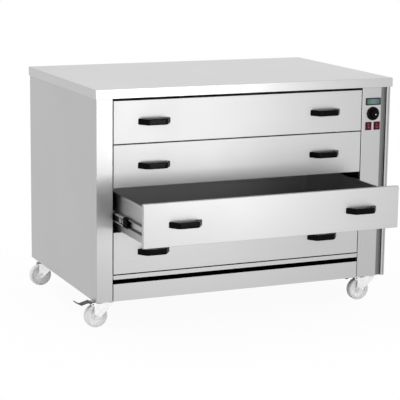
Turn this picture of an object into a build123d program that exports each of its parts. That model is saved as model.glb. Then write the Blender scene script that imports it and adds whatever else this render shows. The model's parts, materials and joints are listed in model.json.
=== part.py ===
from build123d import *
import os

os.makedirs("parts", exist_ok=True)

# A drawer warmer on casters. Millimetres, +X to the right, +Y to the back, +Z up from the floor.
# The origin is the middle of the floor area that the part covers as it stands, with the
# third drawer pulled out and the front left brake pedal reaching out past the side.

# Worktop
worktop_width = 1395
worktop_depth = 910
worktop_height = 1020
worktop_edge = 40
worktop_sheet = 1.5
worktop_hem = 30

# Cabinet body
side_overhang = 5
front_overhang = 9
back_overhang = 1
body_clearance = 121
panel_sheet = 1.5
bend_radius = 2
panel_seam = 0.6
stile_width = 73
corner_return = 45
front_return = 22
back_return = 20
back_recess = 24
post_strip = 11
side_fold = 6.4
groove_width = 27
groove_depth = 12
fascia_width = 96

# Front openings, from the floor up
lower_panel_height = 74
slot_height = 20
bottom_rail_height = 18
bottom_rail_depth = 30
rail_corner = 1
lower_panel_hem = 6
top_gap = 10

# Heated chamber
liner_sheet = 1.2
liner_setback = 15
liner_top_gap = 6
chamber_depth = 850
tray_flange = 20

# Drawers
drawer_count = 4
open_drawer = 3
open_distance = 340
drawer_travel = 650
drawer_gap = 4
drawer_side_gap = 3
front_thickness = 18
front_sheet = 1.2
front_lip = 50
front_corner = 1.5
box_depth = 780
box_sheet = 1.2
box_top_drop = 25
box_bottom_rise = 7
box_hem = 9

# Drawer slides, three members one inside the other
slide_space = 22
slide_overlap = 50
slide_setback = 4
slide_rise = 62
slide_sheet = 1.6
slide_play = 0.5
outer_member_height = 46
outer_member_flange = 14
middle_member_offset = 5
middle_member_flange = 12
inner_member_flange = 13

# Drawer handles
handle_length = 145
handle_grip_length = 88
handle_depth = 40
handle_height = 26
handle_bar = 11
handle_foot = 17
handle_corner = 9
handle_round = 3
handle_inset = 181

# Controls on the fascia
controls_offset = 55
display_width = 74
display_height = 32
display_proud = 4
display_depth = 30
display_rim = 5
display_lap = 2
display_corner = 3
display_edge = 1
display_recess = 3
window_thickness = 2
window_clearance = 0.1
display_below_top = 63
knob_below_top = 117
knob_skirt_radius = 30
knob_skirt_height = 5
knob_grip_radius = 19
knob_grip_height = 17
knob_gap = 1
knob_edge = 1.5
knob_draft = 4
knob_bore_depth = 13.5
shaft_radius = 3
shaft_hole_radius = 4
shaft_length = 14
thermostat_size = 46
thermostat_depth = 32
thermostat_corner = 4
switch_below_top = 172
switch_spread = 42
switch_width = 30
switch_height = 36
switch_proud = 2
switch_depth = 24
switch_lap = 1.5
switch_side_wall = 2.5
switch_end_wall = 1.5
switch_back_wall = 2.5
switch_corner = 2
rocker_tilt = 10
rocker_gap = 0.5
rocker_height = 27.4
rocker_dish = 1.8
rocker_end_height = 26.6
rocker_proud = 4
rocker_depth = 7
rocker_pin_radius = 1.5
rocker_pin_depth = 1.2
pin_clearance = 0.05
cutout_clearance = 0.3

# Heating element, under the bottom drawer
element_radius = 4.25
element_height = 39
element_bend = 50
element_side_gap = 70
element_front_gap = 230
element_pitch = 130
element_flange = 34
element_flange_thickness = 3
element_turn_gap = 110
support_sheet = 2
support_gap = 0.3

# Cord gland on the back panel
gland_bore_radius = 5.5
gland_wall = 3
gland_draft = 8
gland_locknut_height = 5
gland_body_radius = 14
gland_cap_radius = 11.5
gland_nut_height = 9
gland_cap_height = 12
gland_inner_length = 14
gland_inset = 72
gland_rise = 60
vent_slot_length = 60
vent_slot_width = 6
vent_slot_pitch = 14
vent_slot_count = 9
vent_below_top = 200

# Casters
caster_inset = 64
caster_setback = 74
caster_back_inset = 72
caster_trail = 40
plate_length = 104
plate_width = 84
plate_thickness = 3
plate_corner = 6
plate_bolt_spacing_x = 80
plate_bolt_spacing_y = 60
bolt_head_radius = 7.5
bolt_head_height = 5
king_pin_radius = 7
king_pin_head = 11
king_pin_head_height = 3
race_radius = 32
race_cup_radius = 27
race_gap = 0.3
crown_drop = 15
fork_sheet = 3
fork_gap = 40
fork_front_reach = 34
fork_back_reach = 52
crown_setback = 16
leg_boss_radius = 12
wheel_radius = 50
tyre_width = 32
tyre_thickness = 9
tyre_shoulder = 4
rim_thickness = 5
rim_width = 28
web_thickness = 8
hub_radius = 15
hub_width = 38
axle_radius = 5
axle_head_radius = 9
axle_head_height = 6
running_clearance = 0.05
pedal_reach = 134
pedal_pivot_offset = 18
pedal_tyre_gap = 0.921
pedal_hub_radius = 6
pedal_pin_radius = 3
pedal_pin_proud = 1
pedal_sheet = 3
pedal_width = 38
pedal_ear_radius = 8
pedal_root_rise = 15.5
pedal_dip_rise = 4.5
pedal_tip_rise = 17.8
pedal_root_run = 10
pedal_dip_run = 50

# Places worked out from the sizes above
handle_proud = open_distance + handle_depth - front_overhang
pedal_proud = pedal_reach - caster_inset
worktop_left = (pedal_proud - worktop_width) / 2
worktop_right = worktop_left + worktop_width
worktop_front = (handle_proud - worktop_depth) / 2
worktop_back = worktop_front + worktop_depth
worktop_x = worktop_left + worktop_width / 2
worktop_y = worktop_front + worktop_depth / 2

body_left = worktop_left + side_overhang
body_right = worktop_right - side_overhang
body_front = worktop_front + front_overhang
body_back = worktop_back - back_overhang
body_bottom = body_clearance
body_top = worktop_height - worktop_edge
back_face = body_back - back_recess

opening_left = body_left + stile_width
fascia_right = body_right - side_fold - panel_seam - post_strip - groove_width
opening_right = fascia_right - fascia_width
opening_middle = (opening_left + opening_right) / 2
opening_width = opening_right - opening_left
return_back = body_front + front_return

lower_panel_top = body_bottom + lower_panel_height
rail_bottom = lower_panel_top + slot_height
rail_top = rail_bottom + bottom_rail_height
drawers_top = body_top - top_gap
front_width = opening_width - 2 * drawer_side_gap
front_height = (drawers_top - rail_top) / drawer_count - drawer_gap
front_pitch = front_height + drawer_gap

liner_left = opening_left + liner_sheet
liner_right = opening_right - liner_sheet
liner_front = body_front + liner_setback
liner_back = liner_front + chamber_depth
floor_top = body_bottom + panel_sheet
box_width = liner_right - liner_left - 2 * slide_space
box_height = front_height - box_top_drop - box_bottom_rise
slide_length = drawer_travel + slide_overlap
middle_member_height = outer_member_height - 2 * slide_sheet - 2 * slide_play
inner_member_height = middle_member_height - 2 * slide_sheet - 2 * slide_play

controls_x = opening_right + controls_offset
display_z = body_top - display_below_top
knob_z = body_top - knob_below_top
switch_z = body_top - switch_below_top
display_body_width = display_width - 2 * display_lap
display_body_height = display_height - 2 * display_lap
display_window_width = display_width - 2 * display_rim
display_window_height = display_height - 2 * display_rim
switch_body_width = switch_width - 2 * switch_lap
switch_body_height = switch_height - 2 * switch_lap
rocker_opening_width = switch_body_width - 2 * switch_side_wall
rocker_opening_height = switch_body_height - 2 * switch_end_wall
rocker_width = rocker_opening_width - 2 * rocker_gap
rocker_pin_length = rocker_opening_width + 2 * rocker_pin_depth
rocker_pin_hole_length = rocker_pin_length + 2 * rocker_gap
gland_x = body_right - gland_inset
gland_z = body_bottom + gland_rise
gland_bore_length = gland_nut_height + gland_cap_height + panel_sheet + gland_inner_length
caster_left = worktop_left + caster_inset
caster_right = worktop_right - caster_inset
caster_front = worktop_front + caster_setback
caster_back = worktop_back - caster_back_inset
plate_bottom = body_bottom - plate_thickness
crown_top = body_bottom - crown_drop
crown_bottom = crown_top - fork_sheet
rim_radius = wheel_radius - tyre_thickness
wheel_top = 2 * wheel_radius
pedal_hub_reach = wheel_radius + pedal_tyre_gap + pedal_hub_radius
pedal_pivot_height = wheel_radius + (pedal_hub_reach**2 - pedal_pivot_offset**2) ** 0.5


def front_plane(x, y, z):
    """An upright plane that faces the front, with its own x to the right and its own y up."""
    return Plane(origin=(x, y, z), x_dir=(1, 0, 0), z_dir=(0, -1, 0))


def save(piece, name):
    piece.part.label = name
    export_step(piece.part, f"parts/{name}.step")


def folded_pan(face, width, height, depth, thickness, lip, corner):
    """A sheet folded back on four sides and in again as a lip, with its outer face on a plane."""
    with BuildPart() as pan:
        with BuildSketch(face):
            Rectangle(width, height)
        extrude(amount=-depth)
        fillet(pan.edges(), radius=corner)
        with BuildSketch(face.offset(-thickness)):
            Rectangle(width - 2 * thickness, height - 2 * thickness)
        extrude(amount=-(depth - 2 * thickness), mode=Mode.SUBTRACT)
        with BuildSketch(face.offset(-depth)):
            Rectangle(width - 2 * lip, height - 2 * lip)
        extrude(amount=thickness, mode=Mode.SUBTRACT)
    return pan


def folded_wall(bottom, top, *outline):
    """An upright folded sheet. Its outer face follows the outline in plan, with the metal on its left."""
    with BuildPart() as wall:
        with BuildSketch(Plane.XY.offset(bottom)):
            with BuildLine():
                FilletPolyline(*outline, radius=bend_radius)
                offset(amount=panel_sheet, side=Side.LEFT)
            make_face()
        extrude(amount=top - bottom)
    return wall


# Worktop
worktop = folded_pan(
    Plane(origin=(worktop_x, worktop_y, worktop_height)),
    worktop_width, worktop_depth, worktop_edge, worktop_sheet, worktop_hem, worktop_sheet,
)
save(worktop, "worktop")

# Corner post at the left of the drawers, wrapped round onto the side
left_stile = folded_wall(
    body_bottom, body_top,
    (body_left, body_front + corner_return),
    (body_left, body_front),
    (opening_left, body_front),
    (opening_left, return_back),
)
save(left_stile, "left_stile")

# Side panels
left_side_panel = folded_wall(
    body_bottom, body_top,
    (body_left + back_return, body_back),
    (body_left, body_back),
    (body_left, body_front + corner_return + panel_seam),
)
save(left_side_panel, "left_side_panel")

right_side_panel = folded_wall(
    body_bottom, body_top,
    (body_right - side_fold, body_front),
    (body_right, body_front),
    (body_right, body_back),
    (body_right - back_return, body_back),
)
save(right_side_panel, "right_side_panel")

# Corner post at the right: the floor and right wall of the groove, and a narrow strip beside it
right_post = folded_wall(
    body_bottom, body_top,
    (fascia_right - panel_sheet, body_front + groove_depth),
    (fascia_right + groove_width, body_front + groove_depth),
    (fascia_right + groove_width, body_front),
    (fascia_right + groove_width + post_strip, body_front),
    (fascia_right + groove_width + post_strip, return_back),
)
save(right_post, "right_post")

# Control fascia, with the cut-outs for the display, the thermostat shaft and the two switches
fascia_sheet = folded_wall(
    body_bottom, body_top,
    (opening_right, return_back),
    (opening_right, body_front),
    (fascia_right, body_front),
    (fascia_right, body_front + groove_depth),
)
with BuildPart() as control_fascia:
    add(fascia_sheet.part)
    with BuildSketch(front_plane(controls_x, body_front, 0)):
        with Locations((0, display_z)):
            Rectangle(display_body_width + cutout_clearance, display_body_height + cutout_clearance)
        with Locations((0, knob_z)):
            Circle(shaft_hole_radius)
        with Locations((-switch_spread / 2, switch_z), (switch_spread / 2, switch_z)):
            Rectangle(switch_body_width + cutout_clearance, switch_body_height + cutout_clearance)
    extrude(amount=-panel_sheet, mode=Mode.SUBTRACT)
save(control_fascia, "control_fascia")

# Back panel, set in between the side panels, with vent slots and the hole for the cord gland
back_width = body_right - body_left - 2 * panel_sheet
with BuildPart() as back_panel:
    with BuildSketch(Plane(origin=(0, back_face, 0), x_dir=(-1, 0, 0), z_dir=(0, 1, 0))):
        with Locations((-(body_left + body_right) / 2, (body_bottom + body_top) / 2)):
            Rectangle(back_width, body_top - body_bottom)
        with Locations((-gland_x, gland_z)):
            Circle(gland_bore_radius + gland_wall, mode=Mode.SUBTRACT)
        with Locations((-gland_x, body_top - vent_below_top)):
            with GridLocations(0, vent_slot_pitch, 1, vent_slot_count):
                SlotOverall(vent_slot_length, vent_slot_width, mode=Mode.SUBTRACT)
    extrude(amount=-panel_sheet)
save(back_panel, "back_panel")

# Rail between the bottom drawer and the dark slot, on a bar that spans the opening behind it
rail_middle = (rail_bottom + rail_top) / 2
with BuildPart() as bottom_rail:
    with BuildSketch(front_plane(opening_middle, body_front, rail_middle)):
        Rectangle(front_width, bottom_rail_height)
    extrude(amount=-panel_sheet)
    with BuildSketch(Plane.XY.offset(rail_top - panel_sheet)):
        with Locations((opening_middle, body_front + bottom_rail_depth / 2)):
            Rectangle(front_width, bottom_rail_depth)
    extrude(amount=panel_sheet)
    with BuildSketch(front_plane(opening_middle, body_front + bottom_rail_depth, rail_middle)):
        Rectangle(liner_right - liner_left, bottom_rail_height)
    extrude(amount=panel_sheet)
    fillet(bottom_rail.edges().filter_by(Axis.X).group_by(Axis.Y)[0].sort_by(Axis.Z)[-1], radius=rail_corner)
save(bottom_rail, "bottom_rail")

# Panel under the slot, turned in at the foot to meet the base tray
with BuildPart() as lower_front_panel:
    with BuildSketch(front_plane(opening_middle, body_front, body_bottom + lower_panel_height / 2)):
        Rectangle(front_width, lower_panel_height)
    extrude(amount=-panel_sheet)
    with BuildSketch(Plane.XY.offset(body_bottom)):
        with Locations((opening_middle, (body_front + return_back) / 2)):
            Rectangle(front_width, front_return)
    extrude(amount=panel_sheet)
    with BuildSketch(Plane.XY.offset(lower_panel_top - panel_sheet)):
        with Locations((opening_middle, body_front + lower_panel_hem / 2)):
            Rectangle(front_width, lower_panel_hem)
    extrude(amount=panel_sheet)
save(lower_front_panel, "lower_front_panel")

# Base tray, with the two bars that hold the heating element up off its floor
tray_back = back_face - panel_sheet
tray_width = body_right - body_left - 2 * panel_sheet
tray_depth = tray_back - return_back
tray_middle_y = (return_back + tray_back) / 2
element_z = body_bottom + element_height
element_front = body_front + element_front_gap
element_back = element_front + 3 * element_pitch
support_top = element_z - element_radius - support_gap
with BuildPart() as base_tray:
    with BuildSketch(Plane.XY.offset(body_bottom)):
        with Locations(((body_left + body_right) / 2, tray_middle_y)):
            Rectangle(tray_width, tray_depth)
    extrude(amount=panel_sheet)
    with BuildSketch(Plane.XY.offset(body_bottom)):
        with Locations(((body_left + body_right) / 2, tray_middle_y)):
            with GridLocations(tray_width - panel_sheet, 0, 2, 1):
                Rectangle(panel_sheet, tray_depth - 2 * corner_return)
        with Locations(((body_left + body_right) / 2, tray_back - panel_sheet / 2)):
            Rectangle(tray_width, panel_sheet)
    extrude(amount=tray_flange)
    with BuildSketch(Plane.XY.offset(body_bottom)):
        with Locations((opening_middle, (element_front + element_back) / 2)):
            with GridLocations(opening_width / 2, 0, 2, 1):
                Rectangle(support_sheet, element_back - element_front + element_flange)
    extrude(amount=support_top - body_bottom)
save(base_tray, "base_tray")

# Inner walls of the heated chamber, three flat sheets that stand on the tray
liner_height = body_top - liner_top_gap - floor_top
with BuildPart() as chamber_walls:
    with BuildSketch(Plane.XY.offset(floor_top)):
        with Locations((opening_middle, (liner_front + liner_back) / 2)):
            with GridLocations(opening_width - liner_sheet, 0, 2, 1):
                Rectangle(liner_sheet, chamber_depth)
        with Locations((opening_middle, liner_back - liner_sheet / 2)):
            Rectangle(liner_right - liner_left - 2 * panel_seam, liner_sheet)
    extrude(amount=liner_height)
save(chamber_walls, "chamber_walls")

# Heating element: one tube in four long runs, with both ends through flanges on the right wall
element_left = liner_left + element_side_gap
element_turn = liner_right - element_turn_gap
with BuildPart() as heating_element:
    with BuildLine() as element_route:
        FilletPolyline(
            (liner_right, element_front, element_z),
            (element_left, element_front, element_z),
            (element_left, element_front + element_pitch, element_z),
            (element_turn, element_front + element_pitch, element_z),
            (element_turn, element_front + 2 * element_pitch, element_z),
            (element_left, element_front + 2 * element_pitch, element_z),
            (element_left, element_back, element_z),
            (liner_right, element_back, element_z),
            radius=element_bend,
        )
    with BuildSketch(Plane(origin=element_route.line @ 0, z_dir=element_route.line % 0)):
        Circle(element_radius)
    sweep(path=element_route.line)
    with BuildSketch(Plane(origin=(liner_right, 0, 0), x_dir=(0, 1, 0), z_dir=(1, 0, 0))):
        with Locations((element_front, element_z), (element_back, element_z)):
            RectangleRounded(element_flange, element_flange, element_radius)
    extrude(amount=-element_flange_thickness)
save(heating_element, "heating_element")


# Drawers, counted from the top
def pulled(number):
    return open_distance if number == open_drawer else 0


def front_bottom(number):
    return rail_top + drawer_gap + (drawer_count - number) * front_pitch


def drawer_front(number):
    middle_z = front_bottom(number) + front_height / 2
    face = front_plane(opening_middle, body_front - pulled(number), middle_z)
    return folded_pan(face, front_width, front_height, front_thickness, front_sheet, front_lip, front_corner)


def drawer_box(number):
    front = body_front + front_thickness - pulled(number)
    bottom = front_bottom(number) + box_bottom_rise
    middle_y = front + box_depth / 2
    with BuildPart() as box:
        with BuildSketch(Plane.XY.offset(bottom)):
            with Locations((opening_middle, middle_y)):
                Rectangle(box_width, box_depth)
        extrude(amount=box_height)
        with BuildSketch(Plane.XY.offset(bottom + box_sheet)):
            with Locations((opening_middle, middle_y)):
                Rectangle(box_width - 2 * box_sheet, box_depth - 2 * box_sheet)
        extrude(amount=box_height - 2 * box_sheet, mode=Mode.SUBTRACT)
        with BuildSketch(Plane.XY.offset(bottom + box_height - box_sheet)):
            with Locations((opening_middle, middle_y)):
                Rectangle(box_width - 2 * box_hem, box_depth - 2 * box_hem)
        extrude(amount=box_sheet, mode=Mode.SUBTRACT)
    return box


def handle_bow(x, y, z):
    """A bow handle: a trapezium in plan with the finger gap cut through it."""
    with BuildPart() as bow:
        with BuildSketch(Plane(origin=(x, y, z - handle_height / 2))) as plan:
            with BuildLine():
                Polyline(
                    (-handle_length / 2, 0),
                    (-handle_grip_length / 2, -handle_depth),
                    (handle_grip_length / 2, -handle_depth),
                    (handle_length / 2, 0),
                    close=True,
                )
            make_face()
            fillet(plan.vertices().group_by(Axis.Y)[0], radius=handle_corner)
            with BuildLine():
                Polyline(
                    (-handle_length / 2 + handle_foot, 0),
                    (-handle_grip_length / 2 + handle_bar / 2, handle_bar - handle_depth),
                    (handle_grip_length / 2 - handle_bar / 2, handle_bar - handle_depth),
                    (handle_length / 2 - handle_foot, 0),
                    close=True,
                )
            make_face(mode=Mode.SUBTRACT)
        extrude(amount=handle_height)
        grip_edges = bow.edges().filter_by_position(Axis.Y, y - 2 * handle_depth, y - 0.01)
        fillet(grip_edges.group_by(Axis.Z)[0] + grip_edges.group_by(Axis.Z)[-1], radius=handle_round)
    return bow


def drawer_handles(number):
    y = body_front - pulled(number)
    z = front_bottom(number) + front_height / 2
    reach = front_width / 2 - handle_inset
    with BuildPart() as handles:
        add(handle_bow(opening_middle - reach, y, z).part)
        add(handle_bow(opening_middle + reach, y, z).part)
    return handles


def slide_members(number, share, web, flange, height, outward):
    """The left and right members of one size. Share is how much of the drawer's travel they follow."""
    y = body_front + front_thickness + slide_setback - share * pulled(number)
    z = front_bottom(number) + slide_rise
    tip = web - flange if outward else web + flange
    side = Side.RIGHT if outward else Side.LEFT
    with BuildPart() as members:
        with BuildSketch(front_plane(liner_left, y, z)):
            with BuildLine():
                Polyline((tip, height / 2), (web, height / 2), (web, -height / 2), (tip, -height / 2))
                offset(amount=slide_sheet, side=side)
            make_face()
        extrude(amount=-slide_length)
        mirror(about=Plane.YZ.offset(opening_middle))
    return members


def drawer_runners(number):
    return slide_members(number, 1, slide_space, inner_member_flange, inner_member_height, True)


def slide_middle(number):
    return slide_members(number, 0.5, middle_member_offset, middle_member_flange, middle_member_height, False)


def slide_outer(number):
    return slide_members(number, 0, 0, outer_member_flange, outer_member_height, False)


for number in range(1, drawer_count + 1):
    save(drawer_front(number), f"drawer_{number}_front")
    save(drawer_box(number), f"drawer_{number}_box")
    save(drawer_handles(number), f"drawer_{number}_handles")
    save(drawer_runners(number), f"drawer_{number}_runners")
    save(slide_middle(number), f"slide_middle_{number}")

with BuildPart() as slide_outer_members:
    for number in range(1, drawer_count + 1):
        add(slide_outer(number).part)
save(slide_outer_members, "slide_outer_members")

# Display: a bezel pushed through the fascia, with a window let into its face
display_face = front_plane(controls_x, body_front, display_z)
with BuildPart() as display_bezel:
    with BuildSketch(display_face):
        RectangleRounded(display_width, display_height, display_corner)
    extrude(amount=display_proud)
    chamfer(display_bezel.faces().sort_by(Axis.Y)[0].edges(), length=display_edge)
    with BuildSketch(display_face):
        Rectangle(display_body_width, display_body_height)
    extrude(amount=-display_depth)
    with BuildSketch(display_face.offset(display_proud)):
        Rectangle(display_window_width, display_window_height)
    extrude(amount=-display_recess, mode=Mode.SUBTRACT)
save(display_bezel, "display_bezel")

with BuildPart() as display_window:
    with BuildSketch(display_face.offset(display_proud - display_recess)):
        Rectangle(display_window_width - 2 * window_clearance, display_window_height - 2 * window_clearance)
    extrude(amount=window_thickness)
save(display_window, "display_window")

# Thermostat behind the fascia, with its shaft through it, and the knob that fits on the shaft
with BuildPart() as thermostat_body:
    with BuildSketch(front_plane(controls_x, body_front + panel_sheet, knob_z)):
        RectangleRounded(thermostat_size, thermostat_size, thermostat_corner)
    extrude(amount=-thermostat_depth)
    with BuildSketch(front_plane(controls_x, body_front + panel_sheet, knob_z)):
        Circle(shaft_radius)
    extrude(amount=panel_sheet + shaft_length)
save(thermostat_body, "thermostat_body")

knob_face = front_plane(controls_x, body_front - knob_gap, knob_z)
with BuildPart() as thermostat_knob:
    with BuildSketch(knob_face):
        Circle(knob_skirt_radius)
    extrude(amount=knob_skirt_height)
    chamfer(thermostat_knob.faces().sort_by(Axis.Y)[0].edges(), length=knob_edge)
    with BuildSketch(knob_face.offset(knob_skirt_height)):
        Circle(knob_grip_radius)
    extrude(amount=knob_grip_height - knob_skirt_height, taper=knob_draft)
    fillet(thermostat_knob.faces().sort_by(Axis.Y)[0].edges(), radius=knob_edge)
    with BuildSketch(knob_face):
        Circle(shaft_radius + pin_clearance)
    extrude(amount=knob_bore_depth, mode=Mode.SUBTRACT)
save(thermostat_knob, "thermostat_knob")

# Rocker switches: two frames clipped into the fascia, and a tilting rocker in each
switch_places = {
    "left": (controls_x - switch_spread / 2, body_front, switch_z),
    "right": (controls_x + switch_spread / 2, body_front, switch_z),
}
with BuildPart() as switch_frames:
    for place in switch_places.values():
        with BuildSketch(front_plane(*place)):
            RectangleRounded(switch_width, switch_height, switch_corner)
        extrude(amount=switch_proud)
        with BuildSketch(front_plane(*place)):
            Rectangle(switch_body_width, switch_body_height)
        extrude(amount=-switch_depth)
        with BuildSketch(front_plane(*place).offset(switch_proud)):
            Rectangle(rocker_opening_width, rocker_opening_height)
        extrude(amount=-(switch_depth + switch_proud - switch_back_wall), mode=Mode.SUBTRACT)
        with BuildSketch(Plane(origin=place, x_dir=(0, 1, 0), z_dir=(1, 0, 0))):
            Circle(rocker_pin_radius + pin_clearance)
        extrude(amount=rocker_pin_hole_length / 2, both=True, mode=Mode.SUBTRACT)
save(switch_frames, "switch_frames")


def rocker(place):
    """A rocker with a shallow V face, its top pressed in, on two stub pins."""
    side = Plane(origin=place, x_dir=(0, -1, 0), z_dir=(-1, 0, 0)).rotated((-rocker_tilt, 0, 0))
    with BuildPart() as key:
        with BuildSketch(side):
            with BuildLine():
                Polyline(
                    (rocker_proud, rocker_height / 2),
                    (rocker_proud - rocker_dish, 0),
                    (rocker_proud, -rocker_height / 2),
                    (-rocker_depth / 2, -rocker_end_height / 2),
                    (-rocker_depth, 0),
                    (-rocker_depth / 2, rocker_end_height / 2),
                    close=True,
                )
            make_face()
        extrude(amount=rocker_width / 2, both=True)
        with BuildSketch(side):
            Circle(rocker_pin_radius)
        extrude(amount=rocker_pin_length / 2, both=True)
    return key


for side_name, place in switch_places.items():
    save(rocker(place), f"rocker_{side_name}")

# Cord gland through the back panel
with BuildPart() as cable_gland:
    gland_plane = Plane(origin=(gland_x, back_face, gland_z), x_dir=(-1, 0, 0), z_dir=(0, 1, 0))
    with BuildSketch(gland_plane):
        RegularPolygon(gland_body_radius, 6)
    extrude(amount=gland_nut_height)
    with BuildSketch(gland_plane.offset(gland_nut_height)):
        Circle(gland_cap_radius)
    extrude(amount=gland_cap_height, taper=gland_draft)
    with BuildSketch(gland_plane):
        Circle(gland_bore_radius + gland_wall)
    extrude(amount=-(panel_sheet + gland_inner_length))
    with BuildSketch(gland_plane.offset(-panel_sheet)):
        RegularPolygon(gland_body_radius, 6)
    extrude(amount=-gland_locknut_height)
    with BuildSketch(gland_plane.offset(gland_nut_height + gland_cap_height)):
        Circle(gland_bore_radius)
    extrude(amount=-gland_bore_length, mode=Mode.SUBTRACT)
save(cable_gland, "cable_gland")

# Casters
caster_places = {
    "front_left": (caster_left, caster_front),
    "front_right": (caster_right, caster_front),
    "back_left": (caster_left, caster_back),
    "back_right": (caster_right, caster_back),
}
braked = ("front_left", "front_right")
pivot_offset = caster_trail + pedal_pivot_offset

with BuildPart() as caster_plates:
    for place in caster_places.values():
        with BuildSketch(Plane(origin=(*place, plate_bottom))):
            RectangleRounded(plate_length, plate_width, plate_corner)
        extrude(amount=plate_thickness)
        with BuildSketch(Plane(origin=(*place, plate_bottom))):
            with GridLocations(plate_bolt_spacing_x, plate_bolt_spacing_y, 2, 2):
                RegularPolygon(bolt_head_radius, 6)
        extrude(amount=-bolt_head_height)
        with BuildSketch(Plane(origin=(*place, plate_bottom))):
            Circle(king_pin_radius)
        extrude(amount=-(plate_bottom - crown_bottom + race_gap))
        with BuildSketch(Plane(origin=(*place, crown_bottom - race_gap))):
            Circle(king_pin_head)
        extrude(amount=-king_pin_head_height)
save(caster_plates, "caster_plates")


def caster_fork(x, y, with_ears):
    """Swivel race, crown and two swept legs, around the king pin."""
    leg_face = front_plane(x, y - fork_gap / 2, 0)
    with BuildPart() as fork:
        with BuildSketch(leg_face):
            with BuildLine():
                CenterArc((-caster_trail, wheel_radius), leg_boss_radius, 0, 360)
                Polyline(
                    (-fork_back_reach, crown_bottom),
                    (-fork_back_reach, crown_top),
                    (fork_front_reach, crown_top),
                    (fork_front_reach, crown_bottom - fork_sheet),
                )
            make_hull()
            if with_ears:
                with Locations((-pivot_offset, pedal_pivot_height)):
                    Circle(pedal_ear_radius)
                with Locations((-pivot_offset + pedal_ear_radius, pedal_pivot_height)):
                    Rectangle(2 * pedal_ear_radius, 2 * pedal_ear_radius)
            with Locations((-caster_trail, wheel_radius)):
                Circle(axle_radius + running_clearance, mode=Mode.SUBTRACT)
            with Locations((-pivot_offset, pedal_pivot_height)):
                Circle(pedal_pin_radius + running_clearance, mode=Mode.SUBTRACT)
        extrude(amount=fork_sheet)
        mirror(about=Plane.XZ.offset(-y))
        with BuildSketch(Plane(origin=(x, y, crown_bottom))):
            with Locations(((fork_front_reach - fork_back_reach + crown_setback) / 2, 0)):
                Rectangle(fork_front_reach + fork_back_reach - crown_setback, fork_gap)
        extrude(amount=fork_sheet)
        with BuildSketch(Plane(origin=(x, y, crown_top))):
            Circle(race_cup_radius)
        extrude(amount=(plate_bottom - crown_top) / 2)
        with BuildSketch(Plane(origin=(x, y, (crown_top + plate_bottom) / 2))):
            Circle(race_radius)
        extrude(amount=(plate_bottom - crown_top) / 2 - race_gap)
        with BuildSketch(Plane(origin=(x, y, crown_bottom))):
            Circle(king_pin_radius + running_clearance)
        extrude(amount=plate_bottom - crown_bottom, mode=Mode.SUBTRACT)
    return fork


def wheel_section(x, y):
    """The upright plane through an axle, with its own x along the axle and its own y outwards."""
    return Plane(origin=(x - caster_trail, y, wheel_radius), x_dir=(0, 1, 0), z_dir=(1, 0, 0))


def axle_line(x, y):
    return Axis((x - caster_trail, y, wheel_radius), (0, 1, 0))


def caster_wheel(x, y):
    bore = axle_radius + running_clearance
    with BuildPart() as wheel:
        with BuildSketch(wheel_section(x, y)):
            with Locations((0, (bore + hub_radius) / 2)):
                Rectangle(hub_width, hub_radius - bore)
            with Locations((0, (hub_radius + rim_radius) / 2)):
                Rectangle(web_thickness, rim_radius - hub_radius)
            with Locations((0, rim_radius - rim_thickness / 2)):
                Rectangle(rim_width, rim_thickness)
        revolve(axis=axle_line(x, y))
    return wheel


def caster_tyre(x, y):
    with BuildPart() as tyre:
        with BuildSketch(wheel_section(x, y)) as section:
            with Locations((0, rim_radius + tyre_thickness / 2)):
                Rectangle(tyre_width, tyre_thickness)
            fillet(section.vertices().group_by(Axis.Z)[-1], radius=tyre_shoulder)
        revolve(axis=axle_line(x, y))
    return tyre


def caster_axle(x, y):
    leg_outside = fork_gap / 2 + fork_sheet
    with BuildPart() as axle:
        with BuildSketch(front_plane(x - caster_trail, y + leg_outside, wheel_radius)):
            Circle(axle_radius)
        extrude(amount=2 * leg_outside)
        with BuildSketch(front_plane(x - caster_trail, y - leg_outside, wheel_radius)):
            RegularPolygon(axle_head_radius, 6)
        extrude(amount=axle_head_height)
        with BuildSketch(front_plane(x - caster_trail, y + leg_outside, wheel_radius)):
            RegularPolygon(axle_head_radius, 6)
        extrude(amount=-axle_head_height)
    return axle


def brake_pedal(x, y):
    """A bent strip on a hub between the fork's ears. Its tip is the part's furthest point to the left."""
    tip_radius = pedal_sheet / 2
    with BuildPart() as pedal:
        with BuildSketch(front_plane(x, y, 0)):
            with BuildLine() as strip_line:
                Polyline(
                    (-pivot_offset, pedal_pivot_height + pedal_hub_radius - tip_radius),
                    (-pivot_offset - pedal_root_run, wheel_top + pedal_root_rise),
                    (-pivot_offset - pedal_dip_run, wheel_top + pedal_dip_rise),
                    (-pedal_reach + tip_radius, wheel_top + pedal_tip_rise),
                )
            trace(line_width=pedal_sheet)
            with Locations((-pedal_reach + tip_radius, wheel_top + pedal_tip_rise)):
                Circle(tip_radius)
            with Locations((-pivot_offset, pedal_pivot_height)):
                Circle(pedal_hub_radius)
        extrude(amount=pedal_width / 2, both=True)
        with BuildSketch(front_plane(x, y, 0)):
            with Locations((-pivot_offset, pedal_pivot_height)):
                Circle(pedal_pin_radius)
        extrude(amount=fork_gap / 2 + fork_sheet + pedal_pin_proud, both=True)
    return pedal


for caster_name, place in caster_places.items():
    save(caster_fork(*place, caster_name in braked), f"caster_fork_{caster_name}")
    save(caster_wheel(*place), f"caster_wheel_{caster_name}")
    save(caster_tyre(*place), f"caster_tyre_{caster_name}")
    save(caster_axle(*place), f"caster_axle_{caster_name}")

for caster_name in braked:
    save(brake_pedal(*caster_places[caster_name]), f"brake_pedal_{caster_name}")
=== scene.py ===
import json
import math

import bmesh
import bpy
from mathutils import Matrix, Vector


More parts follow.
